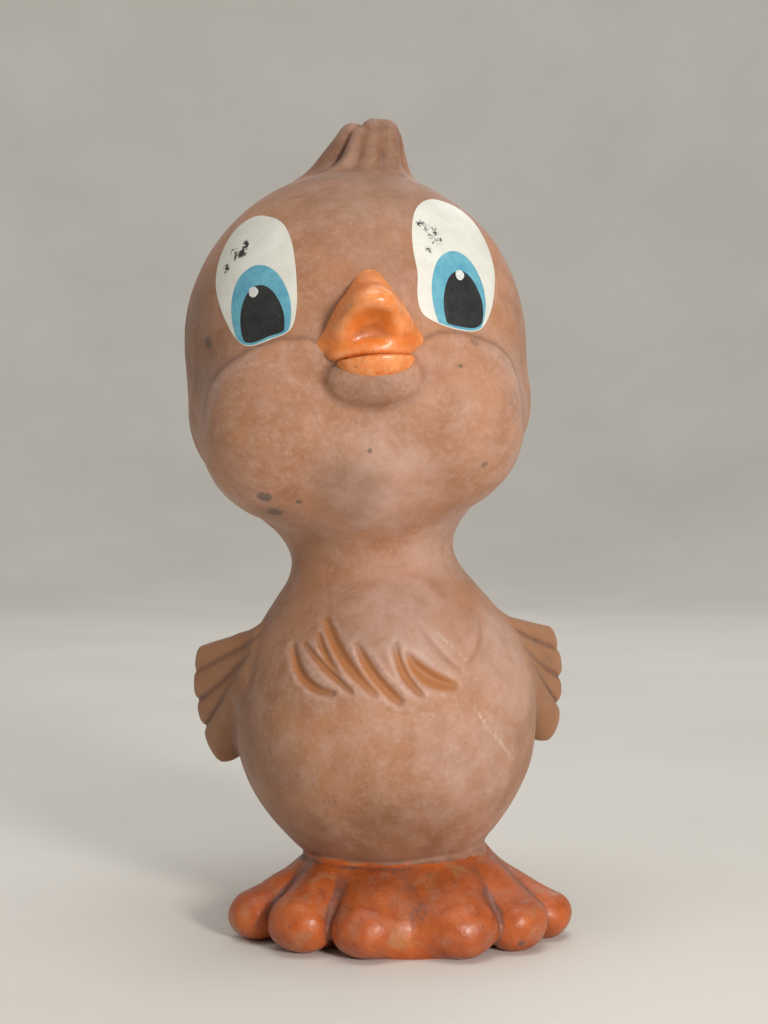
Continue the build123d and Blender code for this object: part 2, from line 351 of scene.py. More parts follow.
# ---- from a field to a mesh ----
CORNERS = np.array([(i, j, k) for i in (0, 1) for j in (0, 1) for k in (0, 1)])
EDGES = [(a, b) for a in range(8) for b in range(a + 1, 8) if np.abs(CORNERS[a] - CORNERS[b]).sum() == 1]
SKIP = 4                  # the field is first looked at on every fourth point


def sample(field, low, high, step):
    """The field on a grid, worked out in full only near its surface."""
    blocks = np.ceil((np.array(high) - low) / (step * SKIP)).astype(int) + 1
    size = blocks * SKIP + 1
    coarse_index = np.indices(blocks + 1).reshape(3, -1).T
    coarse = field(low + coarse_index * (step * SKIP)).reshape(blocks + 1)
    nearest = [np.minimum((np.arange(n) + SKIP // 2) // SKIP, m) for n, m in zip(size, blocks)]
    values = coarse[np.ix_(*nearest)]
    near = np.argwhere(np.abs(values) < 1.7 * step * SKIP)
    values[tuple(near.T)] = field(low + near * step)
    return values


def surface_net(field, low, high, step):
    """Vertices and quads of the field's zero surface, open where the grid ends."""
    low = np.array(low, float)
    values = sample(field, low, high, step)
    inside = values < 0
    n = np.array(values.shape) - 1
    count = sum(
        inside[i : n[0] + i, j : n[1] + j, k : n[2] + k].astype(np.int8) for i, j, k in CORNERS
    )
    cells = np.argwhere((count > 0) & (count < 8))
    at_corner = np.stack([values[tuple((cells + corner).T)] for corner in CORNERS], 1)
    total = np.zeros((len(cells), 3))
    hits = np.zeros(len(cells))
    for a, b in EDGES:
        va, vb = at_corner[:, a], at_corner[:, b]
        crossed = (va < 0) != (vb < 0)
        t = np.where(crossed, va / np.where(crossed, va - vb, 1), 0)
        total += np.where(crossed[:, None], CORNERS[a] + t[:, None] * (CORNERS[b] - CORNERS[a]), 0)
        hits += crossed
    verts = low + (cells + total / hits[:, None]) * step
    index = np.full(n, -1)
    index[tuple(cells.T)] = np.arange(len(cells))
    quads = []
    for axis in range(3):
        u, v = np.eye(3, dtype=int)[[(axis + 1) % 3, (axis + 2) % 3]]
        ahead = np.eye(3, dtype=int)[axis]
        start = u + v
        here = inside[tuple(slice(lo, hi) for lo, hi in zip(start, n))]
        there = inside[tuple(slice(lo + on, hi + on) for lo, hi, on in zip(start, n, ahead))]
        for entering in (True, False):
            edge = np.argwhere(here & ~there if entering else ~here & there) + start
            ring = [edge - u - v, edge - v, edge, edge - u]
            corner = np.stack([index[tuple(cell.T)] for cell in ring], 1)
            corner = corner[(corner >= 0).all(1)]
            quads.append(corner if entering else corner[:, ::-1])
    return verts, np.concatenate(quads)


def slope_of(field, p, reach=0.05):
    """The field's gradient."""
    here = [field(p + reach * way) - field(p - reach * way) for way in np.eye(3)]
    return np.stack(here, 1) / (2 * reach)


def settle(field, verts, quads, rounds):
    """Evens out a mesh's vertices and puts them back on the surface."""
    pairs = np.concatenate([np.stack([quads[:, i], quads[:, (i + 1) % 4]], 1) for i in range(4)])
    for _ in range(rounds):
        total = np.stack([np.bincount(pairs[:, 0], verts[pairs[:, 1], i], len(verts)) for i in range(3)], 1)
        total += np.stack([np.bincount(pairs[:, 1], verts[pairs[:, 0], i], len(verts)) for i in range(3)], 1)
        share = sum(np.bincount(pairs[:, i], minlength=len(verts)) for i in range(2))
        verts = 0.5 * verts + 0.5 * total / share[:, None]
        grade = slope_of(field, verts)
        push = field(verts) / np.maximum((grade**2).sum(1), 0.05)
        verts = verts - np.clip(push, -0.5, 0.5)[:, None] * grade
    return verts


def even_net(field, low, high, step, rounds):
    """The field's surface as evened-out vertices and quads."""
    verts, quads = surface_net(field, low, high, step)
    return settle(field, verts, quads, rounds), quads


# ---- feet: a low dome with six toes, joined to the trunk at the ankle's crease ----
# height above the floor, radius
ANKLE_FLARE = ((-2, 24.6), (2, 25.2), (5, 25.3), (8, 24.8), (11, 23.6), (14, 21.8), (16.5, 20.0), (19, 18.4))
TOES = (                  # root and tip from the ankle's middle on the floor, radius at each
    ((-12.5, -3.0, 10.4), (-31.2, -10.6, 5.2), 9.6, 6.2),
    ((-10.5, -8.0, 12.2), (-22.0, -21.2, 5.9), 9.6, 7.1),
    ((-5.0, -11.0, 12.6), (-8.9, -26.7, 5.9), 9.4, 7.1),
    ((6.0, -11.0, 12.6), (10.6, -27.1, 5.9), 9.6, 7.6),
    ((11.5, -8.0, 12.2), (22.8, -22.8, 5.4), 9.6, 6.8),
    ((12.5, -3.0, 10.4), (30.9, -13.8, 4.8), 9.6, 5.9),
)
TOE_WEB = (0.8, -18.5, 4.0)                                 # fills the gap between the middle toes
TOE_WEB_SIZE = (7.5, 12.0, 10.3)
CREASE_Z = 16.9           # height of the ankle's crease, where the paint starts
SOLE = 3.0
COLLAR_R = 11.5
COLLAR_TOP = cup_high[2] - 0.6
CUP_R = 7.5
SKIRT_R = 17.1            # hollow of the ankle


def on_floor(p):
    return p - np.array([ANKLE[0], ANKLE[1], 0])


def toe_field(q, root, tip, root_r, tip_r):
    """One blunt toe, worked out with its own direction along y."""
    turn = math.atan2(tip[0] - root[0], root[1] - tip[1])
    spin = np.array([[math.cos(turn), -math.sin(turn), 0], [math.sin(turn), math.cos(turn), 0], [0, 0, 1]])
    root, tip = np.array(root) @ spin, np.array(tip) @ spin
    return finger(q @ spin, root, tip, root_r, tip_r, flat=(1, 1, 1.18), power=2.05)


def feet_field(p):
    q = on_floor(p)
    x, y, z = q.T
    around = np.hypot(x, np.where(y > 0, y * 1.08, y))
    low, top = ANKLE_FLARE[0][0], ANKLE_FLARE[-1][0]
    dome = (around - curve_radius(np.clip(z, low, top), ANKLE_FLARE)) * 0.8
    dome = np.maximum(dome, z - top)
    toes = np.full(len(q), 1e3)
    for toe in TOES:
        toes = join(toes, toe_field(q, *toe), 1.6)
    toes = join(toes, egg(q, TOE_WEB, TOE_WEB_SIZE), 6.0)
    uneven = np.sin(x / 2.9 + 1) * np.sin(y / 3.1 + z / 4) + 0.6 * np.sin(x / 1.7 + y / 2.3) * np.sin(z / 1.9)
    return join(dome, toes, 3.4) + 0.2 * uneven


def toy_field(p):
    """All the rubber's outside."""
    return join(rubber_field(p), feet_field(p), 0.9)


def feet_solid_field(p):
    """The feet's rubber, flat below, with the hollow above the sole and the squeaker's hole."""
    x, y, z = on_floor(p).T
    around = np.hypot(x, y)
    room = cut(np.maximum(around - SKIRT_R, SOLE - z), np.maximum(around - COLLAR_R, z - COLLAR_TOP), 0.8)
    hole = np.maximum(around - CUP_R, z - COLLAR_TOP - 1)
    return np.maximum(np.maximum(toy_field(p), -z), -np.minimum(room, hole))


# ---- beak, placed from the head's centre ----
MOUTH = -6.4              # height of the mouth line
BEAK_TIP = (0.5, -45.3, 2.0)
BEAK_ROOT = (0.9, -34.3, 8.5)
BEAK_CORNERS = ((-8.5, -35.4, -3.6), (8.6, -35.4, -3.6))
BEAK_BULK = ((0.2, -37.0, 0.6), (7.6, 8.6, 6.8))      # middle and radii, as in the next three
BEAK_DENT = ((-0.4, -50.9, -4.6), (7.4, 9.4, 6.6))
BEAK_SILL = ((-0.2, -37.4, -5.4), (8.6, 5.6, 3.6))
LOWER_LIP = ((0.7, -39.3, -6.9), (8.0, 6.4, 5.2))


def upper_beak_field(p):
    q = to_figure(p) - HEAD
    hood = finger(q, BEAK_ROOT, BEAK_TIP, 3.4, 4.2)
    for corner in BEAK_CORNERS:
        hood = join(hood, finger(q, corner, BEAK_TIP, 2.5, 3.7), 2.6)
    hood = join(hood, egg(q, *BEAK_BULK), 3.0)
    hood = cut(hood, egg(q, *BEAK_DENT), 2.6)
    hood = join(hood, egg(q, *BEAK_SILL), 1.6)
    hood = cut(hood, q[:, 2] - MOUTH + 0.1 * np.abs(q[:, 0]), 0.9)
    x, y, z = q.T
    uneven = np.sin(x / 2.1 + 1) * np.sin(y / 2.4 + z / 3)
    return np.maximum(hood + 0.12 * uneven, -rubber_field(p) - 0.5)


def lower_beak_field(p):
    q = to_figure(p) - HEAD
    lip = egg(q, *LOWER_LIP)
    lip = cut(lip, MOUTH - 0.35 - 0.05 * np.abs(q[:, 0]) - q[:, 2], 0.8)
    return np.maximum(lip, -rubber_field(p) - 0.5)


# ---- meshes, cut and closed ----
def mesh_of(parts):
    """One bmesh of vertices and faces from several nets."""
    mesh = bpy.data.meshes.new("net")
    verts = np.concatenate([v for v, _ in parts])
    shift = np.cumsum([0] + [len(v) for v, _ in parts[:-1]])
    faces = np.concatenate([quads + n for (_, quads), n in zip(parts, shift)])
    mesh.from_pydata(verts.tolist(), [], faces.tolist())
    bm = bmesh.new()
    bm.from_mesh(mesh)
    bpy.data.meshes.remove(mesh)
    return bm


def close(bm, normal):
    """Fills the flat cut left open in a mesh."""
    rim = [vert for vert in bm.verts if vert.is_boundary]
    bmesh.ops.remove_doubles(bm, verts=rim, dist=0.004)
    rim = [edge for edge in bm.edges if edge.is_boundary]
    bmesh.ops.triangle_fill(bm, edges=rim, use_beauty=True, use_dissolve=False, normal=normal)
    rim = [edge for edge in bm.edges if edge.is_boundary]
    bmesh.ops.holes_fill(bm, edges=rim)
    bmesh.ops.recalc_face_normals(bm, faces=bm.faces)


def side_of(bm, faces, wanted, normal):
    """A closed copy of the faces that are wanted."""
    side = bm.copy()
    side.faces.ensure_lookup_table()
    bmesh.ops.delete(side, geom=[side.faces[i] for i in faces if not wanted[i]], context="FACES")
    close(side, normal)
    return side


def divide(bm, point, normal, within=None):
    """Cuts a closed mesh by a plane, where within holds, into what lies ahead and the rest."""
    centres = np.array([face.calc_center_median() for face in bm.faces])
    chosen = np.ones(len(centres), bool) if within is None else within(to_figure(centres))
    faces = [face for face, on in zip(bm.faces, chosen) if on]
    geom = list(dict.fromkeys(part for face in faces for part in (*face.verts, *face.edges))) + faces
    bmesh.ops.bisect_plane(bm, geom=geom, dist=1e-5, plane_co=point, plane_no=normal)
    bm.faces.index_update()
    centres = np.array([face.calc_center_median() for face in bm.faces])
    ahead = (centres - point) @ normal > 0
    if within is not None:
        ahead &= within(to_figure(centres))
    every = range(len(centres))
    return side_of(bm, every, ahead, normal), side_of(bm, every, ~ahead, normal)


SMUDGES = (               # dark marks: place in the figure's frame, radius, strength
    ((21.6, -34.0, 110.6), 1.3, 0.6),
    ((28.0, -31.2, 106.9), 3.0, 0.4),
    ((28.7, -34.1, 98.4), 3.6, 0.4),
    ((25.0, -33.0, 109.6), 1.4, 0.45),
    ((28.5, -32.0, 94.0), 3.4, 0.35),
    ((17.6, -37.8, 106.0), 0.8, 0.7),
    ((-32.5, -19.6, 116.0), 1.5, 0.9),
    ((-32.8, -21.6, 108.3), 1.1, 0.7),
    ((-23.5, -31.3, 82.8), 1.7, 0.95),
    ((-21.5, -27.1, 79.6), 1.9, 0.9),
    ((-16.5, -30.9, 81.2), 0.9, 0.9),
    ((-1.9, -38.3, 90.2), 0.6, 1.0),
    ((21.6, -34.2, 85.7), 1.1, 0.7),
    ((-15.0, -27.2, 19.5), 2.2, 0.45),
    ((-21.0, -21.0, 14.0), 4.0, 0.3),
    ((8.5, -2.0, 162.0), 4.6, 0.5),
    ((3.0, 2.0, 162.0), 3.2, 0.45),
    ((-3.5, 1.0, 155.0), 5.0, 0.36),
    ((9.1, -36.4, 110.8), 1.6, 0.5),
    ((8.3, -27.6, 50.6), 1.3, 0.35),
    ((14.8, -25.1, 49.8), 1.2, 0.35),
    ((-10.5, -26.2, -3.0), 1.4, 0.9),
    ((22.2, -29.1, -13.9), 1.1, 0.9),
    ((16.5, -22.3, -5.7), 2.0, 0.5),
    ((-1.3, -21.2, 1.2), 3.5, 0.45),
    ((1.5, -29.0, -5.5), 3.0, 0.5),
    ((36.0, 0.0, 46.0), 2.4, 0.45),
    ((38.5, 3.0, 41.0), 2.2, 0.45),
    ((37.0, 2.0, 35.0), 1.5, 0.35),
    ((-31.0, 14.0, 100.0), 3.0, 0.4),
    ((14.0, 30.0, 118.0), 4.0, 0.35),
    ((-16.0, 28.0, 38.0), 4.0, 0.35),
)
BLOOM_AND_LIGHT_SPOTS = (                # pale, rubbed bloom, and painted light on the chest, the throat and the chick's left side
    ((4.0, -26.0, 54.0), 13.0, 0.8),
    ((0.0, -32.0, 84.0), 12.0, 0.7),
    ((25.0, -20.0, 45.0), 13.0, 0.7),
    ((26.0, -24.0, 98.0), 12.0, 0.5),
    ((16.0, -28.0, 25.0), 12.0, 0.5),
    ((-12.0, -28.0, 72.0), 9.0, 0.3),
    ((12.0, -12.0, 68.0), 9.0, 0.6),
    ((-24.0, -24.0, 88.0), 8.0, 0.3),
    ((0.0, 34.0, 100.0), 18.0, 0.5),
    ((20.0, 22.0, 40.0), 14.0, 0.5),
)
SHADE_AND_SOIL_SPOTS = (                # painted shade on the crest, the head's top, the chick's right side and under the jaw and beak, with some dirt from handling
    ((6.5, -5.0, 162.0), 12.0, 0.6),
    ((-2.5, -2.0, 158.0), 7.0, 0.85),
    ((4.5, -16.0, 148.0), 20.0, 0.5),
    ((2.0, -33.0, 128.0), 9.0, 0.25),
    ((-19.0, -34.0, 102.0), 7.0, 0.25),
    ((-8.0, -34.0, 82.0), 8.0, 0.4),
    ((0.2, -41.0, 102.5), 5.0, 0.3),
    ((-22.0, -26.0, 78.5), 5.0, 0.35),
    ((-34.0, -12.0, 118.0), 15.0, 0.45),
    ((-30.0, -18.0, 68.0), 8.0, 0.2),
    ((-27.0, -10.0, 22.0), 16.0, 0.35),
    ((0.0, -26.0, 8.0), 13.0, 0.4),
    ((-34.0, 0.0, 40.0), 14.0, 0.5),
    ((36.0, -12.0, 118.0), 9.0, 0.3),
    ((0.0, 30.0, 60.0), 14.0, 0.4),
    ((1.0, -27.0, -6.0), 4.5, 0.8),
)
EYE_CHIPS = (             # worn places in the eyes' paint
    ((-22.9, -22.7, 135.6), 1.2, 1.0),
    ((-23.9, -23.3, 133.7), 1.5, 1.0),
    ((-25.2, -22.4, 132.9), 1.0, 1.0),
    ((-27.3, -21.3, 130.9), 1.3, 1.0),
    ((-25.5, -20.5, 134.6), 1.2, 0.7),
    ((13.0, -28.7, 136.6), 1.2, 0.9),
    ((15.3, -29.0, 134.5), 2.6, 0.62),
    ((15.9, -29.8, 132.7), 2.0, 0.6),
    ((13.8, -32.1, 130.4), 1.3, 0.6),
    ((14.5, -33.4, 119.9), 1.0, 0.7),
)
SCRATCHES = (             # pale scratches on the belly's left: distance to the left and height
    ((16.4, 36.0), (18.5, 31.6), (20.6, 28.9), 0.2),
    ((20.4, 29.6), (22.0, 27.0), (24.4, 23.6), 0.32),
    ((9.0, 53.0), (12.6, 49.0), (15.8, 45.4), 0.2),
)


def spots(q, places):
    """How strongly each point lies in any of the soft round places."""
    total = np.zeros(len(q))
    for centre, radius, strength in places:
        away = np.linalg.norm(q - np.array(centre), axis=1)
        total = np.maximum(total, strength * (1 - ease(away, 0.45 * radius, 1.5 * radius)))
    return total


def put(name, data):
    """A new object in the scene."""
    obj = bpy.data.objects.new(name, data)
    bpy.context.scene.collection.objects.link(obj)
    return obj


def write_masks(mesh, masks):
    for key, values in masks.items():
        mesh.attributes.new(key, "FLOAT", "POINT").data.foreach_set("value", values.astype(np.float32))


def paint_masks(verts):
    """Where the rubber is stained, pale with bloom and painted light, darkened by painted shade, carved, part
    of a wing or painted.
    """
    q = to_figure(verts)
    scratch = np.zeros(len(q))
    front = q[:, 1] < -10
    for *stroke, half in SCRATCHES:
        away, _ = stroke_distance(q[:, 0], q[:, 2], stroke)
        scratch = np.maximum(scratch, front * np.exp(-((away / half) ** 2)))
    # rim: a dark line along the muzzle's crease, painted shade
    rim = (q[:, 1] < -12) * np.exp(-((inside_muzzle(q) / 0.45) ** 2))
    return {
        "smudge": spots(q, SMUDGES),
        "bloom_and_light": spots(q, BLOOM_AND_LIGHT_SPOTS),
        "shade_and_soil": spots(q, SHADE_AND_SOIL_SPOTS),
        "carved": np.clip(tuft_depth(q) / 1.1, 0, 1),
        "wing": 1 - ease(wing_field(q), -0.2, 1.4),
        "paint": 1 - ease(verts[:, 2], CREASE_Z + 0.1, CREASE_Z + 1.5),
        "rim": rim * ease(q[:, 2], HEAD_S - 22, HEAD_S - 10),
        "scratch": scratch,
    }


HOLLOW_REACH = 1.3        # how far around a point its creases and ridges are felt


def piece(bm, name, skin, node):
    """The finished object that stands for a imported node, shaded outside by its own field's slope."""
    mesh = bpy.data.meshes.new(name)
    bm.to_mesh(mesh)
    bm.free()
    verts = np.empty(len(mesh.vertices) * 3)
    mesh.vertices.foreach_get("co", verts)
    verts = verts.reshape(-1, 3)
    grade = slope_of(skin, verts)
    grade /= np.linalg.norm(grade, axis=1)[:, None] + 1e-9
    on_skin = np.abs(skin(verts)) < 0.15
    corners = np.empty(len(mesh.loops), int)
    mesh.loops.foreach_get("vertex_index", corners)
    flat = np.empty(len(mesh.polygons) * 3)
    mesh.polygons.foreach_get("normal", flat)
    sizes = np.empty(len(mesh.polygons), int)
    mesh.polygons.foreach_get("loop_total", sizes)
    normals = np.repeat(flat.reshape(-1, 3), sizes, axis=0)
    smooth = on_skin[corners] & ((normals * grade[corners]).sum(1) > 0.35)
    normals[smooth] = grade[corners][smooth]
    around = sum(skin(verts + way) + skin(verts - way) for way in HOLLOW_REACH * np.eye(3))
    hollow = (around - 6 * skin(verts)) * on_skin / 1.6
    write_masks(mesh, {"crease": np.clip(-hollow, 0, 1), "raised": np.clip(hollow, 0, 1)})
    write_masks(mesh, paint_masks(verts))
    mesh.vertices.foreach_set("co", (verts * MM).reshape(-1))
    mesh.shade_smooth()
    mesh.normals_split_custom_set(normals.tolist())
    obj = put(name, mesh)
    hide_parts(node)
    return obj


# ---- eyes: films of paint on the head ----
RIGHT_EYE = (             # the white's rim: distance to the left and height from the head's centre
    (-20.7, 26.6),
    (-17.4, 25.5),
    (-15.0, 23.2),
    (-13.7, 18.5),
    (-13.5, 11.0),
    (-14.1, 4.2),
    (-15.7, 0.3),
    (-19.5, -1.1),
    (-24.3, -1.9),
    (-27.0, 0.9),
    (-29.2, 7.0),
    (-29.8, 13.0),
    (-28.4, 18.8),
    (-25.0, 24.4),
)
LEFT_EYE = (
    (16.1, 27.2),
    (19.2, 27.4),
    (23.0, 26.2),
    (26.0, 23.4),
    (28.0, 18.0),
    (28.8, 12.0),
    (28.2, 7.5),
    (26.8, 2.8),
    (24.6, -0.9),
    (22.0, -2.3),
    (17.5, -1.7),
    (13.4, -0.1),
    (11.0, 1.8),
    (10.4, 5.0),
    (10.9, 10.0),
    (10.6, 15.5),
    (11.3, 21.0),
    (13.1, 25.0),
)
IRIS_SIZE = (6.0, 9.6)    # half width and half height
PUPIL_SIZE = (4.4, 7.1)
GLINT_SIZE = (0.95, 1.1)
RIM_POINTS = 120
RINGS = 14


def round_curve(knots, steps):
    """A closed smooth curve through knots."""
    knots = np.array(knots, float)
    n = len(knots)
    at = np.linspace(0, n, steps, endpoint=False)
    i = at.astype(int)
    t = (at - i)[:, None]
    a, b, c, d = (knots[(i + k) % n] for k in (-1, 0, 1, 2))
    return 0.5 * (2 * b + (c - a) * t + (2 * a - 5 * b + 4 * c - d) * t**2 + (3 * b - a - 3 * c + d) * t**3)


def within_rim(centre, half_sizes, rim, margin, tilt=0.0, wobble=0.0, bell=0.0):
    """An oval around centre, wider below by bell, held inside the rim by margin."""
    centre = np.array(centre, float)
    turn = np.linspace(0, 2 * np.pi, RIM_POINTS, endpoint=False)
    uneven = 1 + wobble * (np.sin(3 * turn + 1) + 0.6 * np.sin(5 * turn + 2) + 0.4 * np.sin(9 * turn))
    across = half_sizes[0] * np.cos(turn) * (1 - bell * np.sin(turn)) * uneven
    upward = half_sizes[1] * np.sin(turn) * uneven
    x = across * math.cos(tilt) - upward * math.sin(tilt)
    z = across * math.sin(tilt) + upward * math.cos(tilt)
    away = rim - centre
    order = np.argsort(np.arctan2(away[:, 1], away[:, 0]))
    limit = np.interp(
        np.arctan2(z, x),
        np.arctan2(away[:, 1], away[:, 0])[order],
        np.hypot(away[:, 0], away[:, 1])[order],
        period=2 * np.pi,
    )
    shrink = np.minimum(1, (limit - margin) / np.hypot(x, z))
    return centre + np.stack([x * shrink, z * shrink], 1)


def on_face(flat_points):
    """Carries points of the face's front view onto the rubber."""
    x, z = flat_points.T
    y = -np.sqrt(np.maximum(HEAD_R**2 - x**2 - z**2, 100))
    for _ in range(6):
        here = to_world(np.stack([x, y, z + HEAD_S], 1))
        slope = (rubber_field(here + [0, 0.1, 0]) - rubber_field(here - [0, 0.1, 0])) / 0.2
        y = y - rubber_field(here) / np.minimum(slope, -0.2)
    return to_world(np.stack([x, y, z + HEAD_S], 1))


def film(name, rim, under, thickness):
    """A coat of paint inside rim, from under to its thickness above that."""
    middle = rim.mean(0)
    scale = (np.arange(1, RINGS + 1) / RINGS)[:, None, None]
    flat = np.concatenate([[middle], (middle + (rim - middle) * scale).reshape(-1, 2)])
    base = on_face(flat)
    grade = slope_of(rubber_field, base)
    grade /= np.linalg.norm(grade, axis=1)[:, None]
    share = np.concatenate([[0], np.repeat(np.arange(1, RINGS + 1) / RINGS, RIM_POINTS)])
    edge = under + thickness * (1 - 0.55 * share**12)
    top = base + grade * edge[:, None]
    bottom = base + grade * (under - 0.12)
    count = len(base)
    faces = []
    for j in range(RIM_POINTS):
        k = (j + 1) % RIM_POINTS
        faces.append((0, 1 + j, 1 + k))
        for ring in range(RINGS - 1):
            a = 1 + ring * RIM_POINTS
            b = a + RIM_POINTS
            faces.append((a + j, b + j, b + k, a + k))
    last = 1 + (RINGS - 1) * RIM_POINTS
    walls = [(last + j, count + last + j, count + last + (j + 1) % RIM_POINTS, last + (j + 1) % RIM_POINTS)
             for j in range(RIM_POINTS)]
    under_faces = [tuple(count + v for v in reversed(face)) for face in faces]
    mesh = bpy.data.meshes.new(name)
    mesh.from_pydata((np.concatenate([top, bottom]) * MM).tolist(), [], faces + under_faces + walls)
    bm = bmesh.new()
    bm.from_mesh(mesh)
    bmesh.ops.recalc_face_normals(bm, faces=bm.faces)
    bm.to_mesh(mesh)
    bm.free()
    mesh.shade_smooth()
    mesh.set_sharp_from_angle(angle=0.8)
    write_masks(mesh, {"chips": spots(to_figure(np.concatenate([top, bottom])), EYE_CHIPS)})
    obj = put(name, mesh)
    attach(obj, "figure")
    return obj


def eye(side, outline, iris, pupil, glint):
    """White, iris, pupil and glint of one eye."""
    white_rim = round_curve(outline, RIM_POINTS)
    iris_rim = within_rim(iris, IRIS_SIZE, white_rim, 0.2, wobble=0.006, bell=0.03)
    pupil_rim = within_rim(pupil, PUPIL_SIZE, white_rim, 0.7, wobble=0.008, bell=0.12)
    glint_rim = within_rim(glint, GLINT_SIZE, white_rim, 0.5, wobble=0.03)
    for kind, rim, under, thickness in (
        ("eye_white", white_rim, 0.02, 0.08),
        ("iris", iris_rim, 0.09, 0.05),
        ("pupil", pupil_rim, 0.135, 0.05),
        ("glint", glint_rim, 0.18, 0.08),
    ):
        coat = film(f"{side}_{kind}_coat", rim, under, thickness)
        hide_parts(f"{side}_{kind}")


# ---- the pieces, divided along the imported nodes' planes ----
CREST_S = HEAD_S + 33.0
WING_X = 29.5
WINGS_TOP = 60.0
BELLY_TOP = 62.0
BELLY_Y = -22.3
REACH = np.array([52.0, 54.0, 172.0])       # how far from the ankle the rubber is looked for
FEET_REACH = 42
HEEL_REACH = 32


def beside(side):
    """Whether points lie at the wings' height, on the side towards +x for 1 or -x for -1."""
    return lambda q: (q[:, 2] < WINGS_TOP) & (q[:, 0] * side > 0)


def make_upper():
    """The rubber above the feet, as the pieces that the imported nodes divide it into."""
    low = ANKLE - [REACH[0], REACH[1], 1]
    high = ANKLE + REACH
    outside = even_net(toy_field, low, high, FINE, rounds=3)
    verts, quads = even_net(hollow_field, low, high, COARSE, rounds=3)
    whole = mesh_of([outside, (verts, quads[:, ::-1])])
    upper, _ = divide(whole, np.array([0, 0, CREASE_Z]), UP)
    crest, trunk = divide(upper, to_world([0, 0, CREST_S]), FIGURE[2])
    front, back = divide(trunk, to_world([0, 0, 0]), -FIGURE[1])
    belly, front = divide(front, to_world([0, BELLY_Y, 0]), -FIGURE[1], lambda q: q[:, 2] < BELLY_TOP)
    left, back = divide(back, to_world([WING_X, 0, 0]), FIGURE[0], beside(1))
    right, back = divide(back, to_world([-WING_X, 0, 0]), -FIGURE[0], beside(-1))
    return {
        "crest": piece(crest, "crest_skin", toy_field, "crest"),
        "front": piece(front, "front_skin", toy_field, "front_shell"),
        "back": piece(back, "back_skin", toy_field, "back_shell"),
        "left_wing": piece(left, "left_wing_skin", toy_field, "left_wing"),
        "right_wing": piece(right, "right_wing_skin", toy_field, "right_wing"),
        "belly": piece(belly, "belly_skin", toy_field, "belly_panel"),
    }


def make_feet():
    low = np.array([ANKLE[0] - FEET_REACH, ANKLE[1] - FEET_REACH, -1.2])
    high = np.array([ANKLE[0] + FEET_REACH, ANKLE[1] + HEEL_REACH, CREASE_Z + 2])
    block = mesh_of([even_net(feet_solid_field, low, high, FINER, rounds=2)])
    _, block = divide(block, np.array([0, 0, CREASE_Z]), UP)
    return piece(block, "feet_block", toy_field, "feet")


def make_beak():
    low = to_world([-16, -54, HEAD_S - 16])
    high = to_world([16, -28, HEAD_S + 16])
    for name, field in (("upper_beak", upper_beak_field), ("lower_beak", lower_beak_field)):
        net = even_net(field, np.minimum(low, high), np.maximum(low, high), FINER, rounds=2)
        yield piece(mesh_of([net]), f"{name}_skin", field, name)


rubber = make_upper()
feet = make_feet()
beak = list(make_beak())
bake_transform(rubber["belly"])
for obj in [*rubber.values(), feet, *beak]:
    if obj is not rubber["belly"]:
        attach(obj, "figure")
eye("left", LEFT_EYE, iris=(19.4, 5.2), pupil=(20.1, 3.4), glint=(20.0, 9.5))
eye("right", RIGHT_EYE, iris=(-21.1, 5.2), pupil=(-21.0, 3.3), glint=(-22.2, 9.1))


# ---- materials ----
class Shader:
    """A material with short ways to add its nodes; sizes of patterns are in millimetres."""

    def __init__(self, name):
        self.material = bpy.data.materials.new(name)
        self.material.use_nodes = True
        self.tree = self.material.node_tree
        self.surface = self.tree.nodes["Principled BSDF"]
        self.place = self.add("ShaderNodeTexCoord").outputs["Object"]

    def add(self, kind, inputs=(), **settings):
        node = self.tree.nodes.new(kind)
        for key, value in settings.items():
            setattr(node, key, value)
        for key, value in dict(inputs).items():
            self.give(node.inputs[key], value)
        return node

    def give(self, socket, value):
        if isinstance(value, bpy.types.NodeSocket):
            self.tree.links.new(value, socket)
        elif isinstance(value, tuple) and socket.type == "RGBA":
            socket.default_value = (*value, 1)
        else:
            socket.default_value = value

    def noise(self, size, detail=5, roughness=0.55, distortion=0.0):
        inputs = {"Vector": self.place, "Scale": 1 / (size * MM), "Detail": detail}
        inputs |= {"Roughness": roughness, "Distortion": distortion}
        return self.add("ShaderNodeTexNoise", inputs).outputs["Fac"]

    def cells(self, size, feature="F1"):
        inputs = {"Vector": self.place, "Scale": 1 / (size * MM), "Randomness": 1.0}
        return self.add("ShaderNodeTexVoronoi", inputs, feature=feature).outputs["Distance"]

    def mask(self, name):
        return self.add("ShaderNodeAttribute", attribute_name=name).outputs["Fac"]

    def between(self, value, low, high, bottom=0.0, top=1.0):
        inputs = {"Value": value, "From Min": low, "From Max": high, "To Min": bottom, "To Max": top}
        return self.add("ShaderNodeMapRange", inputs, clamp=True).outputs["Result"]

    def maths(self, operation, a, b):
        node = self.add("ShaderNodeMath", operation=operation)
        self.give(node.inputs[0], a)
        self.give(node.inputs[1], b)
        return node.outputs[0]

    def times(self, a, b):
        return self.maths("MULTIPLY", a, b)

    def plus(self, a, b):
        return self.maths("ADD", a, b)

    def mix(self, share, a, b):
        node = self.add("ShaderNodeMix", data_type="RGBA")
        for index, value in ((0, share), (6, a), (7, b)):
            self.give(node.inputs[index], value)
        return node.outputs[2]

    def bump(self, heights):
        """Relief from (height, depth in millimetres) pairs."""
        normal = None
        for height, depth in heights:
            node = self.add("ShaderNodeBump", {"Height": height, "Distance": depth * MM, "Strength": 1.0})
            if normal is not None:
                self.give(node.inputs["Normal"], normal)
            normal = node.outputs["Normal"]
        self.give(self.surface.inputs["Normal"], normal)

    def finish(self, colour, roughness, **constants):
        self.give(self.surface.inputs["Base Color"], colour)
        self.give(self.surface.inputs["Roughness"], roughness)
        for key, value in constants.items():
            self.give(self.surface.inputs[key.replace("_", " ")], value)
        return self.material


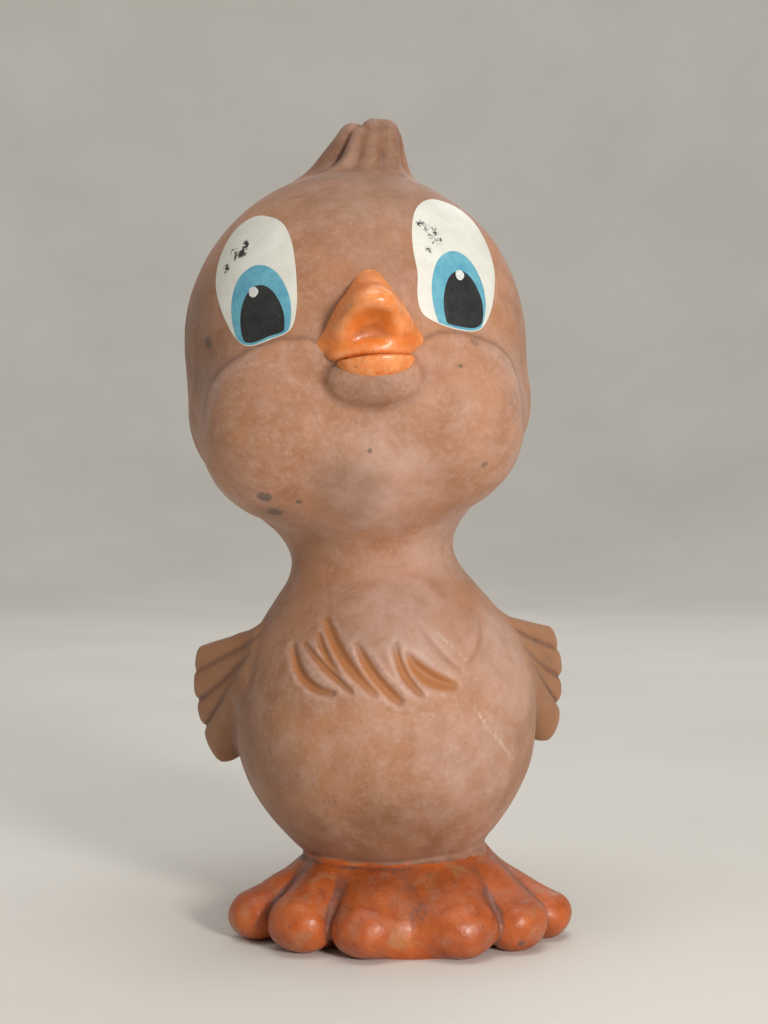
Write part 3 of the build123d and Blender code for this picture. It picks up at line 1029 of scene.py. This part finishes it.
TAN = (0.420, 0.208, 0.116)
BROWN = (0.290, 0.126, 0.056)
# pale pink for rubber bloom and for painted light
PALE_BLOOM_AND_LIGHT = (0.560, 0.372, 0.308)
# dark brown for painted shade and soil
SHADE_AND_SOIL_BROWN = (0.120, 0.054, 0.028)
WARM = (0.430, 0.190, 0.082)
# deeper orange-brown for painted shade in recesses
RECESS = (0.44, 0.172, 0.056)
# ochre-brown for the wings, darkened as painted shade
OCHRE = (0.30, 0.140, 0.055)
GRIME = (0.085, 0.070, 0.066)
DUST = (0.58, 0.48, 0.41)
ORANGE = (0.52, 0.112, 0.014)
ORANGE_PALE = (0.62, 0.20, 0.062)
ORANGE_DARK = (0.34, 0.066, 0.014)
# dark brown for dirt and for painted shade in creases
DIRT_AND_CREASE_SHADE = (0.135, 0.060, 0.045)
FEET_SCUFFED = (0.38, 0.17, 0.095)
FEET_YELLOWED = (0.46, 0.24, 0.085)
BEAK_RED = (0.68, 0.165, 0.024)
BEAK_ORANGE = (0.82, 0.25, 0.05)
# pale orange for the beak's painted highlight and rubbed paint
BEAK_HIGHLIGHT_AND_RUB = (0.86, 0.42, 0.20)
BEAK_PALE = (0.74, 0.37, 0.22)
EYE_BARE = (0.03, 0.028, 0.028)


def painted_orange(s, scuffed):
    """The orange paint's colour, worn to scuffed where it is rubbed."""
    patch = s.noise(7.0, detail=7, roughness=0.6)
    fine = s.noise(1.3, detail=6, roughness=0.65)
    colour = s.mix(s.between(patch, 0.36, 0.66), ORANGE_DARK, ORANGE)
    colour = s.mix(s.times(s.between(s.noise(4.0, detail=8), 0.5, 0.68), 0.55), colour, scuffed)
    colour = s.mix(s.times(s.between(fine, 0.58, 0.76), 0.35), colour, ORANGE_PALE)
    return s.mix(s.times(s.between(fine, 0.44, 0.26), 0.55), colour, DIRT_AND_CREASE_SHADE)


def grime(s, colour, crease_share, reach=0.45):
    """Painted shade with dirt in creases, dirt in the marked smudges, and dirt in specks."""
    broken = s.between(s.noise(1.7, detail=8, roughness=0.7), 0.32, 0.66)
    # darker in creases: painted shade with dirt
    crease = s.times(s.between(s.mask("crease"), 0.05, reach), s.between(broken, 0, 1, 0.45, 1.0))
    colour = s.mix(s.times(crease, crease_share), colour, DIRT_AND_CREASE_SHADE)
    ragged = s.between(s.noise(0.8, detail=7, roughness=0.7), 0.3, 0.7, -0.5, 0.4)
    smudge = s.between(s.plus(s.mask("smudge"), ragged), 0.3, 0.75)
    colour = s.mix(s.times(smudge, s.between(s.mask("smudge"), 0.05, 0.5, 0.0, 0.75)), colour, GRIME)
    dotted = s.between(s.cells(2.6), 0.085, 0.05)
    dotted = s.times(dotted, s.between(s.noise(9.0), 0.48, 0.6))
    return s.mix(s.times(dotted, 0.75), colour, GRIME)


def brown_rubber():
    s = Shader("brown_rubber")
    cloud = s.noise(24.0, detail=7, roughness=0.58)
    mottle = s.noise(5.0, detail=8, roughness=0.62, distortion=0.3)
    fine = s.noise(1.1, detail=6, roughness=0.65)
    colour = s.mix(s.between(cloud, 0.32, 0.62), BROWN, TAN)
    colour = s.mix(s.times(s.between(mottle, 0.44, 0.74), 0.36), colour, PALE_BLOOM_AND_LIGHT)
    colour = s.mix(s.times(s.between(fine, 0.5, 0.72), 0.32), colour, PALE_BLOOM_AND_LIGHT)
    colour = s.mix(s.times(s.between(mottle, 0.48, 0.25), 0.5), colour, BROWN)
    colour = s.mix(s.times(s.between(fine, 0.46, 0.26), 0.35), colour, BROWN)
    warm = s.between(s.noise(13.0, detail=6, roughness=0.55, distortion=0.4), 0.52, 0.61, 0.0, 0.5)
    colour = s.mix(warm, colour, WARM)
    # pale bloom where rubbed, with painted light on the chest, the throat and the chick's left side
    rubbed_and_lit = s.times(s.mask("bloom_and_light"), s.between(mottle, 0.2, 0.65, 0.3, 0.8))
    colour = s.mix(rubbed_and_lit, colour, PALE_BLOOM_AND_LIGHT)
    raised = s.times(s.between(s.mask("raised"), 0.12, 0.6), s.between(fine, 0.3, 0.6, 0.2, 0.6))
    colour = s.mix(raised, colour, PALE_BLOOM_AND_LIGHT)
    # painted shade with handling dirt: darker on the crest, the head's top, the chick's right side and under
    # the jaw
    shade_and_soil = s.times(s.mask("shade_and_soil"), s.between(mottle, 0.25, 0.6, 1.0, 0.75))
    colour = s.mix(shade_and_soil, colour, SHADE_AND_SOIL_BROWN)
    # the wings an ochre-brown tint, darkened as painted shade
    colour = s.mix(s.times(s.mask("wing"), 0.8), colour, s.mix(s.between(mottle, 0.35, 0.65), BROWN, OCHRE))
    # deeper orange-brown in the carved chest grooves: painted shade
    recess = s.times(s.between(s.mask("carved"), 0.12, 0.75), s.between(fine, 0.2, 0.6, 0.75, 1.0))
    colour = s.mix(recess, colour, RECESS)
    # painted shade along the muzzle's crease
    rim = s.times(s.mask("rim"), s.between(fine, 0.35, 0.6, 0.05, 0.6))
    colour = s.mix(rim, colour, SHADE_AND_SOIL_BROWN)
    carved = s.between(s.mask("carved"), 0.1, 0.6, 0.36, 0.22)
    feathered = s.between(s.mask("wing"), 0.2, 0.8, 0.0, 0.45)
    colour = grime(s, colour, s.plus(carved, feathered), reach=0.42)
    dust = s.times(s.between(s.cells(1.9), 0.075, 0.04), s.between(s.noise(13.0), 0.45, 0.6))
    colour = s.mix(s.times(dust, 0.7), colour, DUST)
    colour = s.mix(s.times(s.mask("scratch"), s.between(fine, 0.4, 0.55, 0.05, 0.75)), colour, DUST)
    ragged = s.plus(s.mask("paint"), s.between(s.noise(1.9, detail=6), 0.3, 0.7, -0.45, 0.45))
    colour = s.mix(s.between(ragged, 0.42, 0.58), colour, painted_orange(s, TAN))
    roughness = s.between(s.noise(6.0, detail=6), 0.3, 0.7, 0.46, 0.68)
    s.bump([(s.noise(9.0, detail=4), 0.22), (mottle, 0.12), (fine, 0.05), (s.noise(0.35, detail=3), 0.012)])
    return s.finish(colour, roughness, Specular_IOR_Level=0.42, Sheen_Weight=0.1, Sheen_Roughness=0.45,
                    Sheen_Tint=(0.82, 0.74, 0.80))


def orange_feet():
    s = Shader("feet_paint")
    colour = painted_orange(s, FEET_SCUFFED)
    bare = s.times(s.between(s.mask("paint"), 0.98, 0.5), s.between(s.noise(1.9, detail=6), 0.42, 0.55))
    colour = s.mix(bare, colour, BROWN)
    yellow = s.times(s.between(s.noise(8.0, detail=6), 0.6, 0.72), 0.4)
    colour = s.mix(yellow, colour, FEET_YELLOWED)
    # painted shade with dirt on the feet
    colour = s.mix(s.times(s.mask("shade_and_soil"), 0.5), colour, SHADE_AND_SOIL_BROWN)
    colour = grime(s, colour, 0.9, reach=0.28)
    roughness = s.between(s.noise(3.5, detail=7), 0.35, 0.65, 0.24, 0.52)
    s.bump([(s.noise(5.0, detail=5), 0.35), (s.noise(1.4, detail=7, roughness=0.65), 0.16),
            (s.noise(0.4, detail=4), 0.03)])
    return s.finish(colour, roughness, Specular_IOR_Level=0.5, Coat_Weight=0.12, Coat_Roughness=0.25)


def orange_beak():
    s = Shader("beak_paint")
    bright = s.mix(s.between(s.noise(5.0, detail=6), 0.35, 0.65), BEAK_RED, BEAK_ORANGE)
    # paler on the beak's raised parts: painted highlight with rubbed paint
    rubbed_and_lit = s.times(s.between(s.mask("raised"), 0.05, 0.5), s.between(s.noise(2.2, detail=7), 0.35, 0.6))
    colour = s.mix(s.times(rubbed_and_lit, 0.45), bright, BEAK_HIGHLIGHT_AND_RUB)
    fine = s.noise(0.9, detail=6, roughness=0.65)
    colour = s.mix(s.times(s.between(fine, 0.42, 0.28), 0.55), colour, DIRT_AND_CREASE_SHADE)
    pale = s.times(s.between(s.noise(3.2, detail=7), 0.58, 0.74), 0.35)
    colour = s.mix(pale, colour, BEAK_PALE)
    colour = grime(s, colour, 0.5)
    roughness = s.between(s.noise(2.5, detail=7), 0.35, 0.65, 0.2, 0.45)
    s.bump([(s.noise(3.5, detail=5), 0.25), (fine, 0.07), (s.noise(0.3, detail=3), 0.015)])
    return s.finish(colour, roughness, Specular_IOR_Level=0.5, Coat_Weight=0.15, Coat_Roughness=0.2)


def eye_paint(name, main, other, streak, rough, chipped):
    """A brushed coat of main with other in patches, worn to chipped at its chips and edges."""
    s = Shader(name)
    wash = s.noise(streak, detail=6, roughness=0.6, distortion=0.4)
    colour = s.mix(s.between(wash, 0.35, 0.65), main, other)
    speck = s.between(s.noise(0.55, detail=5, roughness=0.7), 0.63, 0.69)
    colour = s.mix(s.times(speck, 0.6), colour, chipped)
    worn = s.plus(s.mask("chips"), s.between(s.noise(0.7, detail=7, roughness=0.7), 0.3, 0.7, -0.5, 0.5))
    colour = s.mix(s.between(worn, 0.66, 0.74), colour, EYE_BARE)
    roughness = s.between(s.noise(1.5, detail=6), 0.3, 0.7, rough - 0.07, rough + 0.12)
    s.bump([(wash, 0.03), (s.noise(0.4, detail=4), 0.008)])
    return s.finish(colour, roughness, Specular_IOR_Level=0.45)


def metal(name, colour, dull, rough):
    s = Shader(name)
    stain = s.noise(2.4, detail=7, roughness=0.6)
    tone = s.mix(s.between(stain, 0.35, 0.68), colour, dull)
    roughness = s.between(s.noise(0.8, detail=6), 0.3, 0.7, rough - 0.08, rough + 0.16)
    s.bump([(s.noise(0.5, detail=4), 0.01)])
    return s.finish(tone, roughness, Metallic=1.0)


def stage_paper():
    s = Shader("pale_floor")
    tone = s.mix(s.between(s.noise(180.0, detail=5), 0.35, 0.65), (0.70, 0.685, 0.645), (0.75, 0.735, 0.70))
    s.bump([(s.noise(1.2, detail=5), 0.03)])
    return s.finish(tone, s.between(s.noise(30.0), 0.3, 0.7, 0.7, 0.9), Specular_IOR_Level=0.2)


EYE_COATS = {             # main and other colour, size of the streaks, roughness, colour where chipped
    "eye_white_paint": ((0.72, 0.72, 0.66), (0.63, 0.63, 0.57), 6.0, 0.36, (0.35, 0.33, 0.30)),
    "iris_paint": ((0.085, 0.31, 0.44), (0.15, 0.42, 0.52), 2.6, 0.34, (0.03, 0.14, 0.25)),
    "pupil_paint": ((0.014, 0.016, 0.017), (0.026, 0.028, 0.029), 2.2, 0.36, (0.16, 0.16, 0.16)),
    "glint_paint": ((0.52, 0.55, 0.53), (0.72, 0.74, 0.72), 0.9, 0.34, (0.25, 0.27, 0.28)),
}
finishes = {
    "brown_rubber": brown_rubber(),
    "feet_paint": orange_feet(),
    "beak_paint": orange_beak(),
    "aluminium": metal("aluminium", (0.78, 0.78, 0.79), (0.42, 0.42, 0.42), 0.34),
    "brass": metal("brass", (0.74, 0.53, 0.24), (0.36, 0.23, 0.10), 0.3),
}
for name, coat in EYE_COATS.items():
    finishes[name] = eye_paint(name, *coat)


def dress(obj, slot_name):
    obj.data.materials.clear()
    obj.data.materials.append(finishes[slot_name])


for obj in rubber.values():
    dress(obj, "brown_rubber")
dress(feet, "feet_paint")
for obj in beak:
    dress(obj, "beak_paint")
for kind in ("eye_white", "iris", "pupil", "glint"):
    for side in ("left", "right"):
        dress(bpy.data.objects[f"{side}_{kind}_coat"], f"{kind}_paint")
for node, slot_name in (
    ("squeaker_cup", "aluminium"),
    ("squeaker_cover", "aluminium"),
    ("reed_holder", "brass"),
    ("reed_wedge", "brass"),
    ("reed", "brass"),
):
    for material_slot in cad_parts[node].material_slots:
        material_slot.link = "OBJECT"
        material_slot.material = finishes[slot_name]


# ---- floor, light and camera ----
def make_floor():
    """A round floor that curves up to a wall all round."""
    turns = np.linspace(0, 2 * np.pi, 96, endpoint=False)
    rise = np.linspace(0, math.pi / 2, 14)
    rings = [(r, 0.0) for r in (0.15, 0.5, 0.9)]
    rings += [(1.2 + 0.9 * math.sin(a), 0.9 - 0.9 * math.cos(a)) for a in rise]
    rings += [(2.1, 1.8)]
    verts = [(0.0, 0.0, 0.0)] + [(r * math.cos(t), r * math.sin(t), z) for r, z in rings for t in turns]
    n = len(turns)
    faces = [(0, 1 + i, 1 + (i + 1) % n) for i in range(n)]
    for ring in range(len(rings) - 1):
        a = 1 + ring * n
        faces += [(a + i, a + n + i, a + n + (i + 1) % n, a + (i + 1) % n) for i in range(n)]
    mesh = bpy.data.meshes.new("floor")
    mesh.from_pydata(verts, [], faces)
    mesh.shade_smooth()
    mesh.materials.append(stage_paper())
    put("floor", mesh)


def lamp(name, place, aim, size, power, tint):
    data = bpy.data.lights.new(name, "AREA")
    data.shape = "DISK"
    data.size = size
    data.energy = power
    data.color = tint
    obj = put(name, data)
    obj.location = place
    obj.rotation_euler = (Vector(aim) - Vector(place)).to_track_quat("-Z", "Y").to_euler()


make_floor()
lamp("key", (0.27, -0.62, 0.24), (0, 0, 0.09), 0.14, 3.7, (1.0, 0.965, 0.92))
lamp("fill", (-0.7, -0.5, 0.7), (0, 0, 0.08), 0.7, 0.5, (1.0, 0.98, 0.95))
lamp("rim", (0.3, 0.9, 0.9), (0, 0, 0.10), 0.7, 2.0, (1.0, 0.98, 0.96))
lamp("backdrop", (0.0, -0.1, 1.7), (0, 1.7, 0.5), 1.2, 15.0, (1.0, 0.98, 0.95))
world = bpy.data.worlds.new("studio")
world.use_nodes = True
world.node_tree.nodes["Background"].inputs["Color"].default_value = (1.0, 0.98, 0.95, 1)
world.node_tree.nodes["Background"].inputs["Strength"].default_value = 0.24
bpy.context.scene.world = world

camera_data = bpy.data.cameras.new("camera")
camera_data.lens = 55
camera_data.sensor_width = 36
camera = put("camera", camera_data)
camera.location = (-0.0305, -0.3435, 0.092)
camera.rotation_euler = (math.pi / 2, 0, math.radians(-5))
bpy.context.scene.camera = camera
bpy.context.scene.view_settings.view_transform = "Standard"
